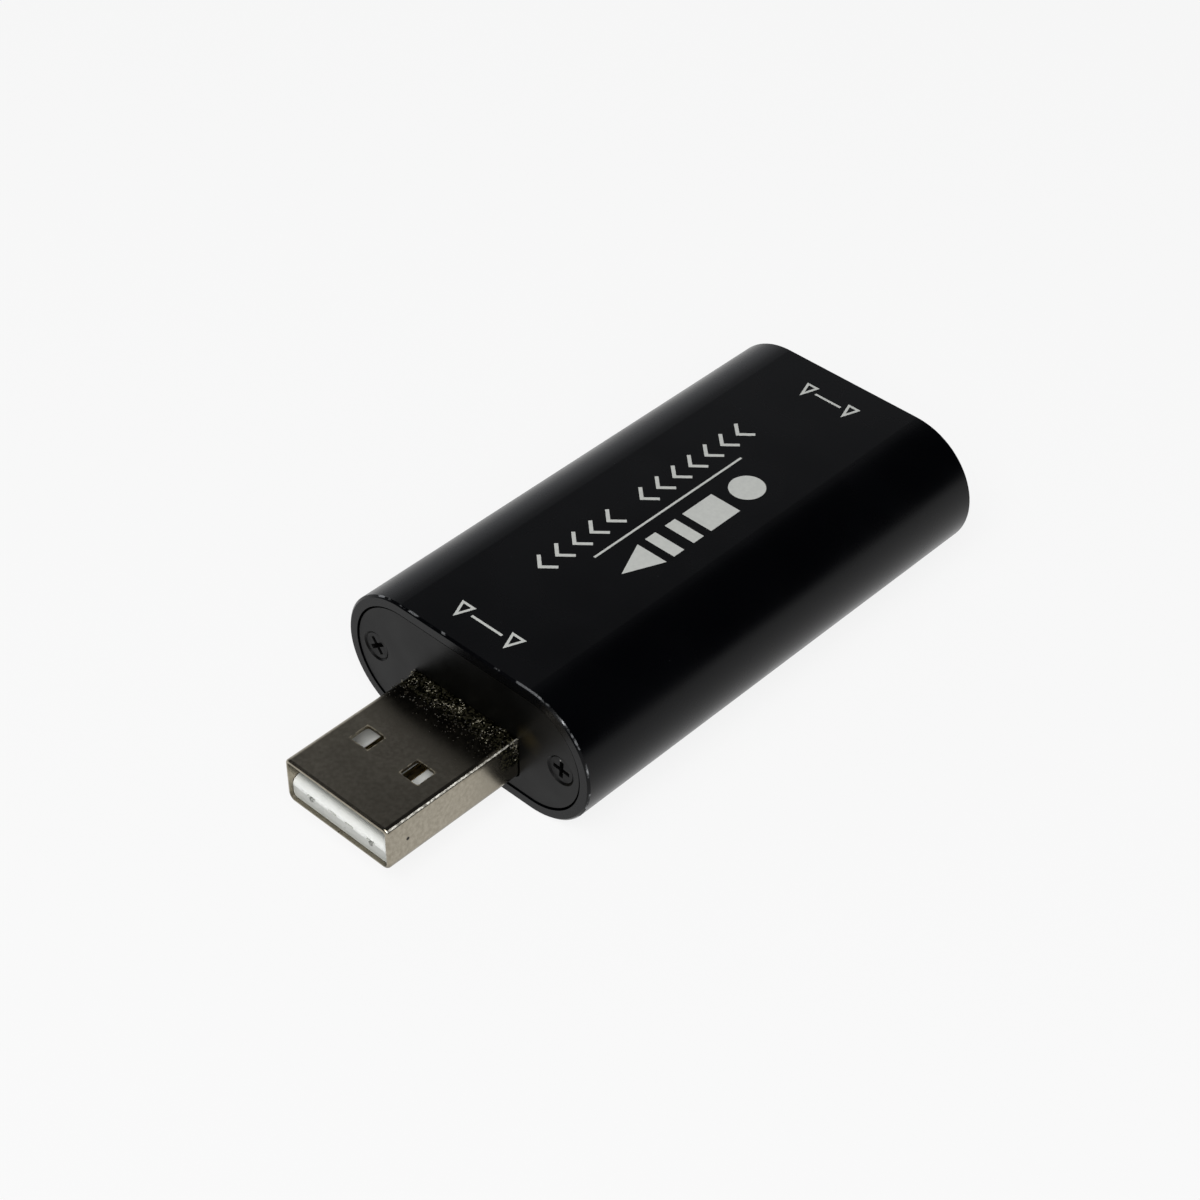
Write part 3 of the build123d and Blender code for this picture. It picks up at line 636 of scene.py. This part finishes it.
# Tracks under the board's solder mask
TRACK_LENGTH = 3.6
TRACK_PITCH = 0.5
TRACK_GAP = 0.09


def board_green():
    """Solder mask: tracks under it show as a lighter green."""
    finish = Finish("board_green", Coat_Weight=0.4, Coat_Roughness=0.12)
    bricks = finish.node("ShaderNodeTexBrick", offset=0.5)
    finish.feed(bricks.inputs["Vector"], finish.scaled_place(size=1.0))
    bricks.inputs["Scale"].default_value = 1.0
    bricks.inputs["Mortar Size"].default_value = TRACK_GAP
    bricks.inputs["Brick Width"].default_value = TRACK_LENGTH
    bricks.inputs["Row Height"].default_value = TRACK_PITCH
    gaps = bricks.outputs["Fac"]
    cloud = finish.noise(size=2.0, detail=2.0)
    mask = finish.mix(cloud, rgb(0.008, 0.060, 0.026), rgb(0.014, 0.090, 0.040))
    finish.colour(finish.mix(gaps, rgb(0.030, 0.160, 0.070), mask))
    finish.roughness(finish.varied(cloud, 0.30, 0.40))
    finish.bump(gaps, depth=0.010)
    return finish.material


def tinned_metal():
    """Tin on leads and terminals, slightly frosted."""
    finish = Finish("tinned_metal", Metallic=1.0)
    frost = finish.noise(size=0.12)
    finish.colour(finish.mix(frost, rgb(0.48, 0.48, 0.47), rgb(0.66, 0.66, 0.64)))
    finish.roughness(finish.varied(frost, 0.28, 0.46))
    finish.bump(frost, depth=0.004)
    return finish.material


def moulded(name, dark, light, roughness, grain, depth):
    """A moulded or pressed surface: a mottled tone and a fine grain."""
    finish = Finish(name)
    cloud = finish.noise(size=1.5)
    finish.colour(finish.mix(cloud, dark, light))
    finish.roughness(finish.varied(cloud, roughness, roughness + MOULDED_ROUGHNESS_RANGE))
    finish.bump(finish.noise(size=grain), depth)
    return finish.material


def black_plastic():
    """The video socket's insulator."""
    dark, light = rgb(0.008, 0.008, 0.008), rgb(0.014, 0.014, 0.014)
    return moulded("black_plastic", dark, light, roughness=0.40, grain=0.12, depth=0.004)


def chip_plastic():
    """The dark packages on the board."""
    dark, light = rgb(0.014, 0.014, 0.015), rgb(0.024, 0.024, 0.025)
    return moulded("chip_plastic", dark, light, roughness=0.55, grain=0.08, depth=0.006)


def ceramic_brown():
    """The bodies of the capacitors."""
    dark, light = rgb(0.24, 0.15, 0.08), rgb(0.34, 0.22, 0.12)
    return moulded("ceramic_brown", dark, light, roughness=0.45, grain=0.10, depth=0.003)


def ferrite_grey():
    """The inductor."""
    dark, light = rgb(0.050, 0.050, 0.054), rgb(0.085, 0.085, 0.090)
    return moulded("ferrite_grey", dark, light, roughness=0.60, grain=0.10, depth=0.008)


def dress_frame():
    """Gives each node of the frame the finish of its material slot."""
    makers = (
        anodised_black,
        plate_black,
        screw_black,
        plug_steel,
        white_plastic,
        contact_metal,
        socket_steel,
        black_plastic,
        board_green,
        chip_plastic,
        tinned_metal,
        ceramic_brown,
        ferrite_grey,
    )
    finishes = {maker.__name__: maker() for maker in makers}
    for part in frame["record"]["subparts"]:
        node = frame["nodes"][part["node"]]
        node.data.materials.clear()
        node.data.materials.append(finishes[part["material_slot"]])


def add_object(name, build, *materials):
    """Puts a built mesh into the scene as an object."""
    mesh = bpy.data.meshes.new(name)
    build.to_mesh(mesh)
    build.free()
    for material in materials:
        mesh.materials.append(material)
    made = bpy.data.objects.new(name, mesh)
    bpy.context.scene.collection.objects.link(made)
    return made


# Marks printed on the top: plain figures that say nothing

PRINT_THICKNESS = 0.012
PRINT_SINK = 0.010
MERGE_DISTANCE = 0.0001
ARC_STEPS = 40

# The bold row: how much of its pitch each figure fills, and how thick a bar is, as a
# share of a figure
BOLD_MIDDLE_X = 3.05
BOLD_HEIGHT = 3.3
BOLD_START = 15.4
BOLD_END = 34.0
BOLD_COUNT = 4
BOLD_FILL_SHARE = 0.80
BAR_SHARE = 0.34

LINE_X = -0.06
LINE_WIDTH = 0.22

# The chevron row: a chevron's depth is a share of their pitch
CHEVRON_MIDDLE_X = -2.5
CHEVRON_HEIGHT = 2.3
CHEVRON_WIDTH = 0.34
CHEVRON_START = 11.4
CHEVRON_END = 38.4
CHEVRON_COUNT = 12
CHEVRON_SPACE_AFTER = 5
CHEVRON_DEPTH_SHARE = 0.5

# The marks at the ends: middle, place along the top and span of each. Their line and
# wedges are shares of half the span.
END_MARK_WIDTH = 0.24
END_MARK_HEIGHT = 1.5
END_LINE_SHARE = 0.5
END_WEDGE_PLACE_SHARE = 0.82
END_WEDGE_WIDTH_SHARE = 0.18
PLUG_END_MARK = (-0.45, 3.2, 7.0)
SOCKET_END_MARK = (0.1, 45.6, 5.8)


def on_top(across, along):
    """A point of the print, from the middle and from the sleeve's plug end."""
    return Vector((across, along + plug_end_y / MM))


def band(points, width, closed=False):
    """A band of even width along points, as four-sided faces with mitred corners."""
    count = len(points)
    pairs = []
    for i, point in enumerate(points):
        ways = []
        if closed or i > 0:
            ways.append((point - points[i - 1]).normalized())
        if closed or i < count - 1:
            ways.append((points[(i + 1) % count] - point).normalized())
        sides = [Vector((-way.y, way.x)) for way in ways]
        mitre = sum(sides, Vector((0, 0))).normalized()
        reach = mitre * (width / 2 / mitre.dot(sides[0]))
        pairs.append((point + reach, point - reach))
    steps = range(count) if closed else range(count - 1)
    faces = []
    for i in steps:
        left, right = pairs[i]
        next_left, next_right = pairs[(i + 1) % count]
        faces.append([right, next_right, next_left, left])
    return faces


def block(x0, y0, x1, y1):
    """A solid rectangle."""
    return [[on_top(x0, y0), on_top(x1, y0), on_top(x1, y1), on_top(x0, y1)]]


def disc(x, y, radius):
    """A solid disc."""
    turns = [2 * math.pi * i / ARC_STEPS for i in range(ARC_STEPS)]
    return [[on_top(x + radius * math.cos(t), y + radius * math.sin(t)) for t in turns]]


def lay_print(name, faces, ink):
    """A thin layer of ink on the sleeve's flat top."""
    build = bmesh.new()
    floor_z = top_z / MM - PRINT_SINK
    for face in faces:
        build.faces.new([build.verts.new((p.x * MM, p.y * MM, floor_z * MM)) for p in face])
    bmesh.ops.remove_doubles(build, verts=build.verts, dist=MERGE_DISTANCE * MM)
    raised = bmesh.ops.extrude_face_region(build, geom=list(build.faces))
    lift = Vector((0, 0, (PRINT_SINK + PRINT_THICKNESS) * MM))
    verts = [item for item in raised["geom"] if isinstance(item, bmesh.types.BMVert)]
    bmesh.ops.translate(build, verts=verts, vec=lift)
    bmesh.ops.recalc_face_normals(build, faces=build.faces)
    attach(add_object(name, build, ink), "root")


def bold_marks():
    """Four solid figures in a row: a wedge, two bars, a square and a disc."""
    low = BOLD_MIDDLE_X - BOLD_HEIGHT / 2
    high = BOLD_MIDDLE_X + BOLD_HEIGHT / 2
    pitch = (BOLD_END - BOLD_START) / BOLD_COUNT
    wedge, bars, square, round_one = [BOLD_START + i * pitch for i in range(BOLD_COUNT)]
    length = pitch * BOLD_FILL_SHARE
    bar = length * BAR_SHARE
    faces = [
        [
            on_top(low, wedge + length),
            on_top(BOLD_MIDDLE_X, wedge),
            on_top(high, wedge + length),
        ]
    ]
    faces += block(low, bars, high, bars + bar)
    faces += block(low, bars + length - bar, high, bars + length)
    faces += block(low, square, high, square + length)
    faces += disc(BOLD_MIDDLE_X, round_one + length / 2, BOLD_HEIGHT / 2)
    return faces


def chevron_row():
    """A row of thin chevrons that point from the socket's end to the plug's, with one
    wider space in it."""
    slots = CHEVRON_COUNT + 1
    pitch = (CHEVRON_END - CHEVRON_START) / slots
    depth = pitch * CHEVRON_DEPTH_SHARE
    faces = []
    for i in range(CHEVRON_COUNT):
        slot = i if i < CHEVRON_SPACE_AFTER else i + 1
        tip = CHEVRON_START + slot * pitch
        corners = [
            on_top(CHEVRON_MIDDLE_X - CHEVRON_HEIGHT / 2, tip + depth),
            on_top(CHEVRON_MIDDLE_X, tip),
            on_top(CHEVRON_MIDDLE_X + CHEVRON_HEIGHT / 2, tip + depth),
        ]
        faces += band(corners, CHEVRON_WIDTH)
    return faces


def end_marks(middle, along, span):
    """A short row at one end of the top: a line between two small wedges that point to
    the plug."""
    half = span / 2
    line = half * END_LINE_SHARE
    low = along - END_MARK_HEIGHT / 2
    high = along + END_MARK_HEIGHT / 2
    faces = block(
        middle - line,
        along - END_MARK_WIDTH / 2,
        middle + line,
        along + END_MARK_WIDTH / 2,
    )
    for side in (-1, 1):
        x = middle + side * half * END_WEDGE_PLACE_SHARE
        width = half * END_WEDGE_WIDTH_SHARE
        corners = [on_top(x - width, high), on_top(x, low), on_top(x + width, high)]
        faces += band(corners, END_MARK_WIDTH, closed=True)
    return faces


def print_grey():
    """The pale ink of the marks, thin enough to take the sleeve's grain."""
    finish = Finish("print_grey", Specular_IOR_Level=0.3)
    patchy = finish.noise(size=0.35)
    finish.colour(finish.mix(patchy, rgb(0.44, 0.45, 0.43), rgb(0.56, 0.57, 0.54)))
    finish.roughness(finish.varied(patchy, 0.50, 0.62))
    finish.bump(finish.noise(size=0.07, detail=2.0), depth=0.003)
    return finish.material


def make_marks():
    """Prints all the marks on the top."""
    ink = print_grey()
    half_line = LINE_WIDTH / 2
    line = block(LINE_X - half_line, BOLD_START, LINE_X + half_line, BOLD_END)
    lay_print("top_mark_bold_row", bold_marks(), ink)
    lay_print("top_mark_chevron_row", chevron_row(), ink)
    lay_print("top_mark_line", line, ink)
    lay_print("top_mark_plug_end", end_marks(*PLUG_END_MARK), ink)
    lay_print("top_mark_socket_end", end_marks(*SOCKET_END_MARK), ink)


# Crumbs of glue round the plug's root, on its top and upper sides

CRUMB_COUNT = 560
CRUMB_SEED = 11
CRUMB_HEAPS = 34
CRUMB_HEAP_WIDTH = 0.28
CRUMB_SIDE_SPREAD = 0.35
CRUMB_SIZES = (0.030, 0.090)
CRUMB_STRETCH = (0.7, 1.6)
CRUMB_FLATNESS = (0.6, 1.0)
CRUMB_UNEVENNESS = (0.75, 1.15)
CRUMB_PALE_SHARE = 0.30
SIDE_DROP = 2.4

# How far out from the plate crumbs lie: the middle and the spread
CRUMB_PALE_PLACE = (1.0, 0.45)
CRUMB_DARK_PLACE = (1.9, 0.9)


def dry_glue():
    """Dark dried glue, glossy in places."""
    dark, light = rgb(0.003, 0.003, 0.002), rgb(0.020, 0.015, 0.007)
    return moulded("dry_glue", dark, light, roughness=0.30, grain=0.06, depth=0.010)


def pale_crumb():
    """Crumbs of glue that have gone pale and yellow."""
    dark, light = rgb(0.05, 0.045, 0.03), rgb(0.29, 0.27, 0.20)
    return moulded("pale_crumb", dark, light, roughness=0.35, grain=0.06, depth=0.010)


def crumb_place(dice, heaps, pale):
    """A place on the plug's top or upper sides near the end plate, and the way that the
    surface faces there. Pale crumbs lie in loose heaps, and dark ones further out."""
    half = plug_side_x / MM
    top = shell_high.z / MM
    around, out = dice.choice(heaps)
    around += dice.gauss(0, CRUMB_HEAP_WIDTH)
    out += dice.gauss(0, CRUMB_HEAP_WIDTH)
    if not pale:
        around = dice.uniform(-half - SIDE_DROP, half + SIDE_DROP)
        out = dice.gauss(*CRUMB_DARK_PLACE)
    past = abs(around) - half
    if past < 0:
        return Vector((around, plate_face_y / MM - abs(out), top)), Vector((0, 0, 1))
    side = math.copysign(1, around)
    out = abs(dice.gauss(0, CRUMB_SIDE_SPREAD))
    height = top - past * dice.random()
    return Vector((side * half, plate_face_y / MM - out, height)), Vector((side, 0, 0))


def add_crumb(build, dice, heaps):
    """One irregular crumb, half sunk in the surface that it stands on."""
    pale = dice.random() < CRUMB_PALE_SHARE
    place, facing = crumb_place(dice, heaps, pale)
    size = dice.uniform(*CRUMB_SIZES)
    made = bmesh.ops.create_icosphere(build, subdivisions=1, radius=1.0)
    ranges = (CRUMB_STRETCH, CRUMB_STRETCH, CRUMB_FLATNESS)
    stretch = Matrix.Diagonal([dice.uniform(*span) for span in ranges])
    turn = facing.to_track_quat("Z", "Y")
    for vert in made["verts"]:
        point = stretch @ (vert.co * dice.uniform(*CRUMB_UNEVENNESS))
        vert.co = (place + turn @ (point * size)) * MM
    for face in {face for vert in made["verts"] for face in vert.link_faces}:
        face.material_index = 1 if pale else 0


def make_crumbs():
    dice = random.Random(CRUMB_SEED)
    reach = plug_side_x / MM + SIDE_DROP
    heaps = [
        (dice.uniform(-reach, reach), dice.gauss(*CRUMB_PALE_PLACE)) for _ in range(CRUMB_HEAPS)
    ]
    build = bmesh.new()
    for _ in range(CRUMB_COUNT):
        add_crumb(build, dice, heaps)
    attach(add_object("plug_root_glue", build, dry_glue(), pale_crumb()), "root")


# Studio: a pale floor, three soft lamps in front and to the right, and a dim surround

FLOOR_REACH = 3000.0
ROUND_STEPS = 96
FLOOR_GREY = 0.64
FLOOR_ROUGHNESS = 0.9
FLOOR_SHARE_OF_WHITE = 0.86

# The surround is lighter low down behind the object on its left, and at the horizon
SURROUND_AXIS = (-0.6, 0.4, -0.7)
SURROUND_DARK = 0.02
SURROUND_LIGHT = 0.78
SURROUND_TINT = (0.97, 0.99, 1.03)
SURROUND_SPREAD = (-0.12, 0.5)
HORIZON_LIGHT = 0.45
HORIZON_SPREAD = (0.0, 0.14)

# How far off the lamps are, and the azimuth, elevation, size and level of each
LAMP_DISTANCE = 700.0
LAMPS = {
    "lamp_key": (30, 48, 450, 0.70),
    "lamp_front": (0, 64, 450, 0.30),
    "lamp_right": (62, 35, 400, 0.25),
}


def floor_material():
    """Pale and matt. Seen directly or in a reflection, it is lifted towards white, and
    still keeps a shadow."""
    material = bpy.data.materials.new("studio_floor")
    material.use_nodes = True
    nodes = Nodes(material.node_tree)
    shader = nodes.tree.nodes["Principled BSDF"]
    shader.inputs["Base Color"].default_value = rgb(FLOOR_GREY, FLOOR_GREY, FLOOR_GREY)
    shader.inputs["Roughness"].default_value = FLOOR_ROUGHNESS
    shader.inputs["Specular IOR Level"].default_value = 0.0
    rays = nodes.node("ShaderNodeLightPath").outputs
    seen = nodes.math("MAXIMUM", rays["Is Camera Ray"], rays["Is Glossy Ray"])
    seen = nodes.math("MAXIMUM", seen, rays["Is Transmission Ray"])
    white = nodes.node("ShaderNodeEmission")
    white.inputs["Strength"].default_value = 1.0
    blend = nodes.node("ShaderNodeMixShader")
    nodes.feed(blend.inputs[0], nodes.times(seen, FLOOR_SHARE_OF_WHITE))
    nodes.feed(blend.inputs[1], shader.outputs[0])
    nodes.feed(blend.inputs[2], white.outputs[0])
    nodes.feed(nodes.tree.nodes["Material Output"].inputs["Surface"], blend.outputs[0])
    return material


def make_floor():
    build = bmesh.new()
    turns = [2 * math.pi * i / ROUND_STEPS for i in range(ROUND_STEPS)]
    reach = FLOOR_REACH * MM
    rim = [build.verts.new((reach * math.cos(t), reach * math.sin(t), 0)) for t in turns]
    build.faces.new(rim)
    add_object("studio_floor", build, floor_material())


def soft_lamp(name, azimuth, elevation, size, level):
    """A square soft lamp aimed at the object. level is how bright it makes a white
    surface that faces it, where 1 is white."""
    data = bpy.data.lights.new(name, "AREA")
    data.shape = "SQUARE"
    data.size = size * MM
    data.energy = level * math.pi**2 * (LAMP_DISTANCE * MM) ** 2
    lamp = bpy.data.objects.new(name, data)
    bpy.context.scene.collection.objects.link(lamp)
    towards = direction(azimuth, elevation)
    lamp.location = towards * LAMP_DISTANCE * MM
    lamp.rotation_euler = (-towards).to_track_quat("-Z", "Y").to_euler()


def make_surround():
    """The world: light towards SURROUND_AXIS, and from a little over the horizon down."""
    world = bpy.data.worlds.new("studio")
    world.use_nodes = True
    nodes = Nodes(world.node_tree)
    way = nodes.node("ShaderNodeTexCoord").outputs["Generated"]
    along = nodes.node("ShaderNodeVectorMath", operation="DOT_PRODUCT")
    nodes.feed(along.inputs[0], way)
    nodes.feed(along.inputs[1], SURROUND_AXIS)
    parts = nodes.node("ShaderNodeSeparateXYZ")
    nodes.feed(parts.inputs[0], way)
    levels = (SURROUND_DARK, SURROUND_LIGHT)
    side = nodes.spread(along.outputs["Value"], *SURROUND_SPREAD, *levels)
    horizon = nodes.spread(parts.outputs["Z"], *HORIZON_SPREAD, HORIZON_LIGHT, 0.0)
    background = nodes.tree.nodes["Background"]
    nodes.feed(background.inputs["Color"], rgb(*SURROUND_TINT))
    nodes.feed(background.inputs["Strength"], nodes.math("MAXIMUM", side, horizon))
    bpy.context.scene.world = world


def make_light():
    make_surround()
    for name, settings in LAMPS.items():
        soft_lamp(name, *settings)


make_camera()
make_floor()
make_light()
dress_frame()
make_marks()
make_crumbs()

bpy.context.scene.view_settings.view_transform = "Standard"
